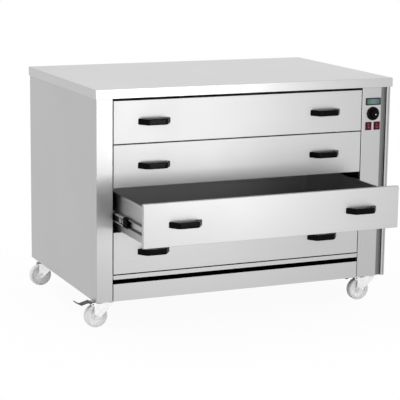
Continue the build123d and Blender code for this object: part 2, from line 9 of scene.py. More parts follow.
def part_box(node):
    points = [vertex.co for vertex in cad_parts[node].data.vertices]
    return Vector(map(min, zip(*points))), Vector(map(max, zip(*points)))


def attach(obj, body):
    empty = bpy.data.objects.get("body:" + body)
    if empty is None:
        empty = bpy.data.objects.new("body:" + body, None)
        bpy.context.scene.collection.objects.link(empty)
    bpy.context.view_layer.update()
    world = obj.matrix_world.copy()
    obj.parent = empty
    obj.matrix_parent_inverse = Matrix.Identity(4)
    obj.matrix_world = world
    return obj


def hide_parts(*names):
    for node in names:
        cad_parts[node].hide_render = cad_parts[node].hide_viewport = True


# Looks of the drawer warmer. Metres, in the same frame as its construction: +X to the right,
# +Y to the back, +Z up from the floor.

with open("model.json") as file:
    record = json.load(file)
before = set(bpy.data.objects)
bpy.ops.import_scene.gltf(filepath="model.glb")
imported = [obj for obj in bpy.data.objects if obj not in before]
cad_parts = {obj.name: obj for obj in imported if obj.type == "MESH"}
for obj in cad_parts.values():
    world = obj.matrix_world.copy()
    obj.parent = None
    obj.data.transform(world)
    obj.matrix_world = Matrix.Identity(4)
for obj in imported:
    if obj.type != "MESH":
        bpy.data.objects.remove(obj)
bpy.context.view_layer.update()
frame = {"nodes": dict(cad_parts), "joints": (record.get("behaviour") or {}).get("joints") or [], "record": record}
mm = 0.001


# Camera and studio


def add_camera():
    """The photograph's place and angle, found from the corners of the worktop, the body and the drawers."""
    left_of_worktop, before_worktop, height = 2.0864, 5.8146, 1.7996
    turn_right = 0.4141
    tilt_down = 0.197
    roll = 0.012
    data = bpy.data.cameras.new("camera")
    data.lens = 137.2
    data.clip_end = 60
    camera = bpy.data.objects.new("camera", data)
    worktop_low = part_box("worktop")[0]
    place = Vector((worktop_low.x - left_of_worktop, worktop_low.y - before_worktop, height))
    camera.matrix_world = (
        Matrix.Translation(place)
        @ Matrix.Rotation(-turn_right, 4, "Z")
        @ Matrix.Rotation(math.pi / 2 - tilt_down, 4, "X")
        @ Matrix.Rotation(roll, 4, "Z")
    )
    bpy.context.scene.collection.objects.link(camera)
    bpy.context.scene.camera = camera


def seen_directly(tree):
    """1 for what the camera sees straight, in a mirror or through glass, and 0 for what only gives light."""
    path = tree.nodes.new("ShaderNodeLightPath")
    total = path.outputs["Is Camera Ray"]
    for name in ("Is Glossy Ray", "Is Transmission Ray"):
        largest = tree.nodes.new("ShaderNodeMath")
        largest.operation = "MAXIMUM"
        tree.links.new(total, largest.inputs[0])
        tree.links.new(path.outputs[name], largest.inputs[1])
        total = largest.outputs[0]
    return total


def add_world():
    """White behind everything, and a soft even light from all round."""
    world = bpy.data.worlds.new("studio")
    world.use_nodes = True
    bpy.context.scene.world = world
    tree = world.node_tree
    tree.nodes.clear()
    room_light = tree.nodes.new("ShaderNodeBackground")
    room_light.inputs["Color"].default_value = (1, 1, 1, 1)
    room_light.inputs["Strength"].default_value = 0.8
    backdrop = tree.nodes.new("ShaderNodeBackground")
    backdrop.inputs["Color"].default_value = (1, 1, 1, 1)
    backdrop.inputs["Strength"].default_value = 1
    either = tree.nodes.new("ShaderNodeMixShader")
    tree.links.new(seen_directly(tree), either.inputs["Fac"])
    tree.links.new(room_light.outputs[0], either.inputs[1])
    tree.links.new(backdrop.outputs[0], either.inputs[2])
    output = tree.nodes.new("ShaderNodeOutputWorld")
    tree.links.new(either.outputs[0], output.inputs["Surface"])


def add_lamp(name, place, aim, width, height, watts):
    """A rectangular lamp turned towards a point, which the camera itself doesn't see."""
    data = bpy.data.lights.new(name, "AREA")
    data.shape = "RECTANGLE"
    data.size = width
    data.size_y = height
    data.energy = watts
    lamp = bpy.data.objects.new(name, data)
    lamp.location = place
    lamp.rotation_mode = "QUATERNION"
    lamp.rotation_quaternion = (Vector(aim) - Vector(place)).to_track_quat("-Z", "Y")
    lamp.visible_camera = False
    bpy.context.scene.collection.objects.link(lamp)


def add_floor():
    """A pale round floor that keeps the shadow and fades out into the white around it."""
    radius = 6
    fade_begins, fade_ends = 0.9, 2.6
    white_share = 0.95
    bm = bmesh.new()
    bmesh.ops.create_circle(bm, cap_ends=True, segments=96, radius=radius)
    mesh = bpy.data.meshes.new("floor")
    bm.to_mesh(mesh)
    bm.free()
    floor = bpy.data.objects.new("floor", mesh)
    bpy.context.scene.collection.objects.link(floor)

    pale = bpy.data.materials.new("pale_floor")
    pale.use_nodes = True
    tree = pale.node_tree
    nodes = tree.nodes
    links = tree.links
    nodes.clear()
    painted = nodes.new("ShaderNodeBsdfDiffuse")
    painted.inputs["Color"].default_value = (0.9, 0.9, 0.9, 1)
    white = nodes.new("ShaderNodeEmission")
    white.inputs["Color"].default_value = (1, 1, 1, 1)
    white.inputs["Strength"].default_value = 1
    share = nodes.new("ShaderNodeMath")
    share.operation = "MULTIPLY"
    share.inputs[1].default_value = white_share
    links.new(seen_directly(tree), share.inputs[0])
    lit = nodes.new("ShaderNodeMixShader")
    links.new(share.outputs[0], lit.inputs["Fac"])
    links.new(painted.outputs[0], lit.inputs[1])
    links.new(white.outputs[0], lit.inputs[2])

    place = nodes.new("ShaderNodeTexCoord")
    reach = nodes.new("ShaderNodeVectorMath")
    reach.operation = "LENGTH"
    links.new(place.outputs["Object"], reach.inputs[0])
    fade = nodes.new("ShaderNodeMapRange")
    fade.interpolation_type = "SMOOTHSTEP"
    fade.inputs["From Min"].default_value = fade_begins
    fade.inputs["From Max"].default_value = fade_ends
    links.new(reach.outputs["Value"], fade.inputs["Value"])
    clear = nodes.new("ShaderNodeBsdfTransparent")
    faded = nodes.new("ShaderNodeMixShader")
    links.new(fade.outputs["Result"], faded.inputs["Fac"])
    links.new(lit.outputs[0], faded.inputs[1])
    links.new(clear.outputs[0], faded.inputs[2])
    output = nodes.new("ShaderNodeOutputMaterial")
    links.new(faded.outputs[0], output.inputs["Surface"])
    floor.data.materials.append(pale)


add_camera()
add_world()
add_floor()
add_lamp("front_lamp", place=(0.92, -3.6, 0.44), aim=(-0.3, -0.3, 0.5), width=1.0, height=0.9, watts=18)
add_lamp("back_lamp", place=(1.9, 4.0, 2.3), aim=(0, 0, 1.0), width=2.6, height=1.2, watts=1.5)
add_lamp("top_lamp", place=(-0.5, -0.4, 4.6), aim=(0, 0, 0.9), width=3.0, height=2.4, watts=60)

bpy.context.scene.view_settings.view_transform = "Standard"


# Finishes


def surface(finish):
    """The inputs of a finish's shader."""
    return finish.node_tree.nodes["Principled BSDF"].inputs


def new_finish(name, colour, roughness, metallic=0.0, shine=0.5):
    finish = bpy.data.materials.new(name)
    finish.use_nodes = True
    surface(finish)["Base Color"].default_value = (*colour, 1)
    surface(finish)["Roughness"].default_value = roughness
    surface(finish)["Metallic"].default_value = metallic
    surface(finish)["Specular IOR Level"].default_value = shine
    return finish


def pattern(finish, stretch, detail=2.0):
    """A fine noise that is fixed to the piece. Stretch is its size along X, Y and Z, as cycles a metre."""
    tree = finish.node_tree
    place = tree.nodes.new("ShaderNodeTexCoord")
    scaled = tree.nodes.new("ShaderNodeMapping")
    scaled.inputs["Scale"].default_value = stretch
    noise = tree.nodes.new("ShaderNodeTexNoise")
    noise.inputs["Scale"].default_value = 1
    noise.inputs["Detail"].default_value = detail
    tree.links.new(place.outputs["Object"], scaled.inputs["Vector"])
    tree.links.new(scaled.outputs["Vector"], noise.inputs["Vector"])
    return noise.outputs["Fac"]


def along(finish, axis, start, end):
    """0 at one place along an axis of the frame, going over to 1 at another."""
    tree = finish.node_tree
    place = tree.nodes.new("ShaderNodeTexCoord")
    split = tree.nodes.new("ShaderNodeSeparateXYZ")
    tree.links.new(place.outputs["Object"], split.inputs["Vector"])
    share = tree.nodes.new("ShaderNodeMapRange")
    share.inputs["From Min"].default_value = start
    share.inputs["From Max"].default_value = end
    tree.links.new(split.outputs[axis], share.inputs["Value"])
    return share.outputs["Result"]


def spread(finish, value, low, high):
    """The noise value, most of which lies between 0.3 and 0.7, spread from low to high."""
    between = finish.node_tree.nodes.new("ShaderNodeMapRange")
    between.inputs["From Min"].default_value = 0.3
    between.inputs["From Max"].default_value = 0.7
    between.inputs["To Min"].default_value = low
    between.inputs["To Max"].default_value = high
    finish.node_tree.links.new(value, between.inputs["Value"])
    return between.outputs["Result"]


def vary_colour(finish, value, dark, light):
    tree = finish.node_tree
    mix = tree.nodes.new("ShaderNodeMix")
    mix.data_type = "RGBA"
    mix.inputs["A"].default_value = (*dark, 1)
    mix.inputs["B"].default_value = (*light, 1)
    tree.links.new(spread(finish, value, 0, 1), mix.inputs["Factor"])
    tree.links.new(mix.outputs["Result"], surface(finish)["Base Color"])


def vary_roughness(finish, value, low, high):
    finish.node_tree.links.new(spread(finish, value, low, high), surface(finish)["Roughness"])


def raise_grain(finish, value, depth):
    """Bump of a given depth in metres."""
    tree = finish.node_tree
    grain = tree.nodes.new("ShaderNodeBump")
    grain.inputs["Distance"].default_value = depth
    tree.links.new(value, grain.inputs["Height"])
    tree.links.new(grain.outputs["Normal"], surface(finish)["Normal"])


def shades(colour, change):
    """A colour a little darker and a little lighter."""
    return [c * (1 - change) for c in colour], [c * (1 + change) for c in colour]


def brushed_steel(name, level, roughness, grain):
    """Stainless sheet with fine polishing lines along one axis, and faint broad bands between them."""
    colour = (level, level, level * 1.004)
    finish = new_finish(name, colour, roughness, 1.0)
    line_along, line_across = 4, 1300
    band_along, band_across = 1.2, 160
    lines = [line_along if axis == grain else line_across for axis in "XYZ"]
    bands = [band_along if axis == grain else band_across for axis in "XYZ"]
    vary_colour(finish, pattern(finish, bands, 3.0), *shades(colour, 0.008))
    vary_roughness(finish, pattern(finish, (2.1, 2.1, 2.1), 4.0), roughness - 0.02, roughness + 0.02)
    raise_grain(finish, pattern(finish, lines), 0.004 * mm)
    return finish


def post_steel_groove_shade(name, level, groove_shade_level):
    """The right corner post: as the panels on its front strip, and darkened with painted shade down in its groove.
    """
    finish = brushed_steel(name, level, 0.36, "Z")
    tree = finish.node_tree
    base_colour = surface(finish)["Base Color"]
    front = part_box("right_post")[0].y
    strip_ends, groove_begins = 0.5 * mm, 3 * mm
    # Painted shade: from just behind the front strip the colour goes over to the dark groove level, standing for
    # the shade in the groove.
    depth = along(finish, "Y", front + strip_ends, front + groove_begins)
    mix = tree.nodes.new("ShaderNodeMix")
    mix.data_type = "RGBA"
    tree.links.new(depth, mix.inputs["Factor"])
    tree.links.new(base_colour.links[0].from_socket, mix.inputs["A"])
    mix.inputs["B"].default_value = (groove_shade_level, groove_shade_level, groove_shade_level, 1)
    tree.links.new(mix.outputs["Result"], base_colour)
    return finish


def bright_zinc(name, level, roughness):
    """Zinc plate: a cloudy shine, slightly uneven from the bath."""
    colour = (level, level, level * 1.01)
    finish = new_finish(name, colour, roughness, 1.0)
    vary_colour(finish, pattern(finish, (70, 70, 70), 4.0), *shades(colour, 0.06))
    vary_roughness(finish, pattern(finish, (160, 160, 160), 3.0), roughness - 0.06, roughness + 0.08)
    return finish


def moulded(name, colour, roughness, texture=900, shine=0.5):
    """Moulded plastic with the fine spark texture of its tool."""
    finish = new_finish(name, colour, roughness, shine=shine)
    vary_colour(finish, pattern(finish, (40, 40, 40), 3.0), *shades(colour, 0.08))
    vary_roughness(finish, pattern(finish, (120, 120, 120), 3.0), roughness - 0.04, roughness + 0.05)
    raise_grain(finish, pattern(finish, (texture, texture, texture)), 0.03 * mm)
    return finish


def heat_dulled_and_shade_sheet(name, level, roughness):
    """Plain sheet that heat has dulled and clouded; set very dark, it also serves as painted shade."""
    colour = (level * 1.06, level, level * 0.94)
    finish = new_finish(name, colour, roughness, 1.0)
    vary_colour(finish, pattern(finish, (9, 9, 9), 5.0), *shades(colour, 0.25))
    vary_roughness(finish, pattern(finish, (25, 25, 25), 4.0), roughness - 0.08, roughness + 0.08)
    return finish


def lit_window(name):
    """The display's window: green at its left, going over to blue grey at its right, under a clear pane."""
    low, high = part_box("display_window")
    left_green = (0.075, 0.17, 0.11, 1)
    pale_green = (0.17, 0.27, 0.24, 1)
    blue_grey = (0.085, 0.12, 0.20, 1)
    finish = new_finish(name, (0.1, 0.2, 0.16), 0.16)
    tree = finish.node_tree
    ramp = tree.nodes.new("ShaderNodeValToRGB")
    stops = ramp.color_ramp.elements
    stops[0].color = left_green
    stops[1].position = 0.95
    stops[1].color = blue_grey
    stops.new(0.5).color = pale_green
    tree.links.new(along(finish, "X", low.x, high.x), ramp.inputs["Fac"])
    cloud = tree.nodes.new("ShaderNodeMix")
    cloud.data_type = "RGBA"
    cloud.blend_type = "MULTIPLY"
    cloud.inputs["Factor"].default_value = 0.35
    tree.links.new(ramp.outputs["Color"], cloud.inputs["A"])
    tree.links.new(pattern(finish, (120, 120, 900), 2.0), cloud.inputs["B"])
    tree.links.new(cloud.outputs["Result"], surface(finish)["Base Color"])
    return finish


finishes = {
    "worktop_steel": brushed_steel("worktop_steel", 0.50, 0.34, "X"),
    "panel_steel": brushed_steel("panel_steel", 0.45, 0.36, "Z"),
    "front_steel": brushed_steel("front_steel", 0.47, 0.42, "X"),
    "post_steel_groove_shade": post_steel_groove_shade("post_steel_groove_shade", 0.45, 0.18),
    # The chamber sheet is made near black: painted shade standing for the dark inside of the cabinet.
    "chamber_steel": heat_dulled_and_shade_sheet("chamber_steel", 0.02, 0.6),
    "drawer_box_steel": brushed_steel("drawer_box_steel", 0.42, 0.4, "Y"),
    # The hem's steel is a lighter copy of the box steel: a painted highlight along the rolled edge.
    "hem_highlight_steel": brushed_steel("hem_highlight_steel", 0.62, 0.3, "Y"),
    "slide_zinc": bright_zinc("slide_zinc", 0.5, 0.34),
    "handle_plastic": moulded("handle_plastic", (0.0012, 0.0012, 0.0014), 0.24, shine=0.06),
    "cage_plastic": moulded("cage_plastic", (0.002, 0.002, 0.002), 0.55, shine=0.02),
    "element_steel": heat_dulled_and_shade_sheet("element_steel", 0.18, 0.5),
    "display_plastic": moulded("display_plastic", (0.012, 0.024, 0.032), 0.4, shine=0.2),
    "display_glass": lit_window("display_glass"),
    "thermostat_metal": bright_zinc("thermostat_metal", 0.55, 0.4),
    "knob_plastic": moulded("knob_plastic", (0.0012, 0.0012, 0.0012), 0.24, 600, 0.06),
    "pointer_paint": moulded("pointer_paint", (0.72, 0.72, 0.72), 0.5),
    "mark_paint": moulded("mark_paint", (0.55, 0.24, 0.28), 0.5),
    "race_shadow": heat_dulled_and_shade_sheet("race_shadow", 0.12, 0.5),
    "valley_shadow": heat_dulled_and_shade_sheet("valley_shadow", 0.015, 0.6),
    "switch_plastic": moulded("switch_plastic", (0.022, 0.002, 0.006), 0.4, shine=0.08),
    "rocker_red": moulded("rocker_red", (0.11, 0.006, 0.016), 0.3, 500, 0.2),
    "gland_plastic": moulded("gland_plastic", (0.02, 0.02, 0.02), 0.45),
    "caster_zinc": bright_zinc("caster_zinc", 0.78, 0.34),
    "bolt_zinc": bright_zinc("bolt_zinc", 0.66, 0.3),
    "wheel_plastic": moulded("wheel_plastic", (0.92, 0.92, 0.92), 0.4),
    "tyre_rubber": moulded("tyre_rubber", (0.84, 0.84, 0.84), 0.6, 700),
    "pedal_plastic": moulded("pedal_plastic", (0.05, 0.05, 0.05), 0.35),
}


def wear_finishes():
    """Each construction piece takes the finish that the record names for it.

    The drawer fronts and the panels under them have their grain across, and the right post a finish with painted
    shade in its groove.
    """
    for part in frame["record"]["subparts"]:
        piece = frame["nodes"][part["node"]]
        slot = part["material_slot"]
        across = slot == "panel_steel" and part["node"].startswith(("drawer", "lower", "bottom"))
        piece.data.materials.clear()
        worn = "post_steel_groove_shade" if part["node"] == "right_post" else slot
        piece.data.materials.append(finishes["front_steel" if across else worn])


wear_finishes()


# Shared ways to make a piece


crease = math.radians(40)


def finish_piece(name, bm, body, slot, finish=None, replaced=(), more=()):
    """Puts a finished shape in the scene, shaded smooth over its rounded edges and flat over its faces.

    It wears its slot's finish, or another one that is named, and more holds those of its marked faces.
    """
    bmesh.ops.recalc_face_normals(bm, faces=bm.faces)
    mesh = bpy.data.meshes.new(name)
    bm.to_mesh(mesh)
    bm.free()
    mesh.shade_smooth()
    mesh.set_sharp_from_angle(angle=crease)
    for worn in (finish or slot, *more):
        mesh.materials.append(finishes[worn])
    piece = bpy.data.objects.new(name, mesh)
    bpy.context.scene.collection.objects.link(piece)
    even = piece.modifiers.new("even_shading", "WEIGHTED_NORMAL")
    even.keep_sharp = True
    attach(piece, body)
    if replaced:
        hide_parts(*replaced)


def bevel_edges(bm, edges, width, segments):
    bmesh.ops.bevel(
        bm, geom=edges, offset=width, offset_type="OFFSET", segments=segments,
        affect="EDGES", profile=0.5, material=-1, clamp_overlap=True,
    )


def prism(bm, outline, length, turn, place):
    """A solid of one outline, drawn flat and grown straight up, then turned and put in its place."""
    corners = [bm.verts.new((x, y, 0)) for x, y in outline]
    base = bm.faces.new(corners)
    grown = bmesh.ops.extrude_face_region(bm, geom=[base])["geom"]
    top = [v for v in grown if isinstance(v, bmesh.types.BMVert)]
    bmesh.ops.translate(bm, verts=top, vec=(0, 0, length))
    bmesh.ops.recalc_face_normals(bm, faces=bm.faces)
    made = corners + top
    bmesh.ops.transform(bm, matrix=Matrix.Translation(place) @ turn, verts=made)
    return made


def turned(bm, profile, steps, turn, place):
    """A shape turned on a lathe. The profile's points are (distance from the axis, height along it)."""
    points = [bm.verts.new((radius, 0, height)) for radius, height in profile]
    edges = [bm.edges.new(pair) for pair in zip(points, points[1:])]
    bmesh.ops.spin(
        bm, geom=points + edges, cent=(0, 0, 0), axis=(0, 0, 1), angle=2 * math.pi, steps=steps,
        use_merge=True,
    )
    made = list(connected(points))
    bmesh.ops.transform(bm, matrix=Matrix.Translation(place) @ turn, verts=made)
    bmesh.ops.remove_doubles(bm, verts=made, dist=0.01 * mm)


def connected(start):
    """All vertices that edges join to the given ones."""
    found = set(start)
    waiting = list(start)
    while waiting:
        vert = waiting.pop()
        for edge in vert.link_edges:
            other = edge.other_vert(vert)
            if other not in found:
                found.add(other)
                waiting.append(other)
    return found


def softened(node, name, body, slot, width):
    """A copy of a construction piece with its sharp edges rounded, which stands for it."""
    bm = bmesh.new()
    bm.from_mesh(frame["nodes"][node].data)
    bmesh.ops.remove_doubles(bm, verts=bm.verts, dist=0.002 * mm)
    bmesh.ops.dissolve_limit(bm, angle_limit=math.radians(2), verts=bm.verts, edges=bm.edges)
    sharp = [e for e in bm.edges if len(e.link_faces) == 2 and e.calc_face_angle(0) > crease]
    bevel_edges(bm, sharp, width, 2)
    finish_piece(name, bm, body, slot, replaced=[node])


def middle(node):
    """The centre of a construction piece's box."""
    low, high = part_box(node)
    return (low + high) / 2


to_front = Matrix.Rotation(math.pi / 2, 4, "X")
to_back = Matrix.Rotation(-math.pi / 2, 4, "X")
to_left = Matrix.Rotation(-math.pi / 2, 4, "Y")
side_on = Matrix.Rotation(math.pi / 2, 4, "Z") @ Matrix.Rotation(math.pi / 2, 4, "X")
upright = Matrix.Identity(4)


# Bow handles


handle_length = 145 * mm


def bow_handle(bm, x, face_y, z):
    """A moulded bow: straight grip, two slanted arms, and the finger gap between it and the drawer front."""
    grip, depth, height = 88 * mm, 40 * mm, 26 * mm
    bar, foot = 12 * mm, 18 * mm
    outer_bend, inner_bend, rounding = 9 * mm, 5 * mm, 4.2 * mm
    end = handle_length / 2
    outline = [
        (-end, 0), (-grip / 2, -depth), (grip / 2, -depth), (end, 0),
        (end - foot, 0), (grip / 2 - bar / 2, bar - depth),
        (bar / 2 - grip / 2, bar - depth), (foot - end, 0),
    ]
    made = set(prism(bm, outline, height, upright, (x, face_y, z - height / 2)))
    uprights = [e for e in bm.edges if set(e.verts) <= made and vertical(e) and free_of_wall(e, face_y)]
    bevel_edges(bm, [e for e in uprights if e.verts[0].co.y < face_y - depth + mm], outer_bend, 6)
    uprights = [e for e in bm.edges if vertical(e) and abs(e.verts[0].co.y - face_y + depth - bar) < mm]
    bevel_edges(bm, [e for e in uprights if abs(e.verts[0].co.x - x) < handle_length], inner_bend, 4)
    rims = [
        e for e in bm.edges
        if abs(e.verts[0].co.x - x) < handle_length and level(e) and free_of_wall(e, face_y)
        and e.calc_face_angle(0) > math.radians(60)
    ]
    bevel_edges(bm, rims, rounding, 4)


def vertical(edge):
    """Whether an edge runs the height of the grip."""
    a, b = (v.co for v in edge.verts)
    return abs(a.z - b.z) > 20 * mm and (a - b).xy.length < 0.01 * mm


def level(edge):
    """Whether an edge lies flat."""
    a, b = (v.co for v in edge.verts)
    return abs(a.z - b.z) < 0.01 * mm


def free_of_wall(edge, face_y):
    """Whether an edge doesn't lie flat against the drawer front."""
    return min(v.co.y for v in edge.verts) < face_y - 0.01 * mm


def add_handles():
    for number in range(1, 5):
        node = f"drawer_{number}_handles"
        low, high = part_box(node)
        bm = bmesh.new()
        for x in (low.x + handle_length / 2, high.x - handle_length / 2):
            bow_handle(bm, x, high.y, (low.z + high.z) / 2)
        finish_piece(
            f"drawer_{number}_bow_handles", bm, f"drawer_{number}", "handle_plastic", replaced=[node],
        )


# Drawer slides


# Marked faces that wear painted shade: the races near the flanges, and the valley of the web.
race_shade_faces, valley_faces = 1, 2


def channel(
    bm, web_x, race_x, towards, reach, height, sheet, front, back, z, groove, valley=0, shaded_outside=False,
):
    """A roll-formed channel along Y, with a ball race pressed into each flange, dark with grease inside.

    Its flanges reach from the web to the right where towards is 1, and to the left where it is -1. Groove
    is the race's depth, and valley that of a band pressed into the web, with painted shade on its outer face. The
    last argument puts painted shade on the outside of the flanges too.
    """
    corner = 2.5 * mm
    shaded_width = 6.5 * mm
    band = height / 2 - shaded_width - 2 * mm
    race = abs(race_x - web_x)
    half = [
        (0, height / 2 - shaded_width), (0, height / 2 - corner), (corner, height / 2),
        (race - groove, height / 2), (race, height / 2 - groove), (race + groove, height / 2),
        (reach, height / 2),
    ]
    if valley:
        half = [(valley, band - valley), (0, band)] + half
    outline = [(out, -up) for out, up in half[::-1]] + half
    start = [bm.verts.new((web_x + towards * out, front, z + up)) for out, up in outline]
    edges = [bm.edges.new(pair) for pair in zip(start, start[1:])]
    grown = bmesh.ops.extrude_edge_only(bm, edges=edges)["geom"]
    far = [v for v in grown if isinstance(v, bmesh.types.BMVert)]
    skin = [f for f in grown if isinstance(f, bmesh.types.BMFace)]
    bmesh.ops.translate(bm, verts=far, vec=(0, back - front, 0))
    for face in skin:
        face.normal_update()
    web = min(skin, key=lambda f: abs(f.calc_center_median().x - web_x))
    if web.normal.x * towards < 0:
        bmesh.ops.reverse_faces(bm, faces=skin)
    solid = bmesh.ops.solidify(bm, geom=skin, thickness=-sheet)["geom"]
    sides = set(skin) | {f for f in solid if isinstance(f, bmesh.types.BMFace)}
    bmesh.ops.recalc_face_normals(bm, faces=list(sides))
    # Painted shade lies on what looks into the channel near its flanges, and on the valley in the web's outer
    # face.
    for face in sides:
        rise = face.calc_center_median().z - z
        inwards = face.normal.x * towards - math.copysign(face.normal.z, face.normal.z * rise)
        in_shade = inwards > 0.5 or (shaded_outside and abs(face.normal.z) > 0.3)
        if abs(rise) > height / 2 - shaded_width and in_shade and abs(face.normal.y) < 0.5:
            face.material_index = race_shade_faces
        if valley and abs(rise) < band and face.normal.x * towards < -0.3:
            face.material_index = valley_faces


def end_plates(bm, web_x, front, z, half_height, depth):
    """The bright end of a pressed band: a narrow strip, and a longer plate behind it.

    The plate's front end is rounded out, and its back end has the same round cut into it.
    """
    strip, gap, plate, bulge = 9 * mm, 9 * mm, 34 * mm, 6 * mm
    corners = [(0, -half_height), (0, half_height), (strip, half_height), (strip, -half_height)]
    prism(bm, corners, depth, side_on, (web_x, front, z))
    turns = [math.radians(15 * step - 90) for step in range(13)]
    near = [(bulge * (1 - math.cos(a)), half_height * math.sin(a)) for a in turns]
    far = [(plate - bulge * math.cos(a), half_height * math.sin(a)) for a in turns]
    prism(bm, near + far[::-1], depth, side_on, (web_x, front + strip + gap, z))


def pan_screw(bm, place, turn, radius=3.6 * mm, rise=1.8 * mm):
    """A pan head with a round drive recess."""
    profile = [
        (0, 0.35 * rise), (0.42 * radius, 0.35 * rise), (0.42 * radius, rise), (0.7 * radius, 0.96 * rise),
        (0.92 * radius, 0.7 * rise), (radius, 0.3 * rise), (radius, 0), (0, 0),
    ]
    turned(bm, profile, 16, turn, place)


def mirror_pair(bm, plane_x):
    """Adds the right-hand one of a pair, opposite the left-hand one."""
    copy = bmesh.ops.duplicate(bm, geom=bm.verts[:] + bm.edges[:] + bm.faces[:])["geom"]
    verts = [g for g in copy if isinstance(g, bmesh.types.BMVert)]
    faces = [g for g in copy if isinstance(g, bmesh.types.BMFace)]
    across = Matrix.Translation((2 * plane_x, 0, 0)) @ Matrix.Diagonal((-1, 1, 1, 1))
    bmesh.ops.transform(bm, matrix=across, verts=verts)
    bmesh.ops.reverse_faces(bm, faces=faces)


def add_slides():
    """The runners on the drawers, the middle members with their ball cages, and the cabinet's members."""
    sheet, cage_sheet = 1.5 * mm, 1.4 * mm
    cage_length = 46 * mm
    runner_reach = 13 * mm
    valley = 3 * mm
    rib = [(0, -15 * mm), (2.2 * mm, -12 * mm), (2.2 * mm, 12 * mm), (0, 15 * mm)]
    rib_width = 4 * mm
    outer_low, outer_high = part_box("slide_outer_members")
    plane_x = (outer_low.x + outer_high.x) / 2
    race_x = outer_low.x + 12 * mm
    outer = bmesh.new()
    for number in range(1, 5):
        low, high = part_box(f"drawer_{number}_runners")
        z = (low.z + high.z) / 2
        runner_web = low.x + runner_reach
        bm = bmesh.new()
        channel(
            bm, runner_web, race_x, towards=-1, reach=runner_reach, height=37.6 * mm, sheet=sheet,
            front=low.y, back=high.y, z=z, groove=2.2 * mm, shaded_outside=True,
        )
        for distance in (45, 230, 450, 655):
            pan_screw(bm, (runner_web - sheet, low.y + distance * mm, z), to_left)
        mirror_pair(bm, plane_x)
        finish_piece(
            f"drawer_{number}_slide_runners", bm, f"drawer_{number}", "slide_zinc",
            replaced=[f"drawer_{number}_runners"], more=["race_shadow"],
        )

        low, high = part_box(f"slide_middle_{number}")
        bm = bmesh.new()
        front = low.y + cage_length
        channel(
            bm, low.x, race_x, towards=1, reach=12 * mm, height=41.8 * mm, sheet=sheet,
            front=front, back=high.y, z=z, groove=1.2 * mm, valley=valley,
        )
        end_plates(bm, low.x + 0.3 * mm, front, z, half_height=9 * mm, depth=valley - 0.4 * mm)
        mirror_pair(bm, plane_x)
        finish_piece(
            f"slide_{number}_middle_members", bm, f"slide_{number}", "slide_zinc",
            replaced=[f"slide_middle_{number}"], more=["race_shadow", "valley_shadow"],
        )

        bm = bmesh.new()
        channel(
            bm, low.x, race_x, towards=1, reach=11 * mm, height=41.6 * mm, sheet=cage_sheet,
            front=low.y, back=front, z=z, groove=1.0 * mm,
        )
        for start in (9, 23, 37):
            prism(bm, rib, rib_width, to_front, (low.x + 1.3 * mm, low.y + start * mm + rib_width, z))
        mirror_pair(bm, plane_x)
        finish_piece(
            f"slide_{number}_ball_cages", bm, f"slide_{number}", "handle_plastic", "cage_plastic",
            more=["cage_plastic"],
        )

        channel(
            outer, outer_low.x, race_x, towards=1, reach=14 * mm, height=46 * mm, sheet=sheet,
            front=outer_low.y, back=outer_high.y, z=z, groove=0.8 * mm,
        )
    mirror_pair(outer, plane_x)
    finish_piece(
        "cabinet_slide_members", outer, "cabinet", "slide_zinc",
        replaced=["slide_outer_members"], more=["race_shadow"],
    )


# Drawer boxes


def add_box_hems():
    """The rolled top edge of each drawer box, along both of its sides, in a lighter steel that is a painted
    highlight.
    """
    radius = 2.4 * mm
    inset = 1 * mm
    for number in range(1, 5):
        low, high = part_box(f"drawer_{number}_box")
        bm = bmesh.new()
        for x in (low.x, high.x):
            place = Matrix.Translation((x, low.y + inset, high.z - radius)) @ to_back
            ring = bmesh.ops.create_circle(bm, cap_ends=True, segments=16, radius=radius, matrix=place)
            end = list({face for vert in ring["verts"] for face in vert.link_faces})
            grown = bmesh.ops.extrude_face_region(bm, geom=end)["geom"]
            far = [g for g in grown if isinstance(g, bmesh.types.BMVert)]
            bmesh.ops.translate(bm, verts=far, vec=(0, high.y - low.y - 2 * inset, 0))
        finish_piece(f"drawer_{number}_box_hems", bm, f"drawer_{number}", "drawer_box_steel", "hem_highlight_steel")


# Thermostat knob


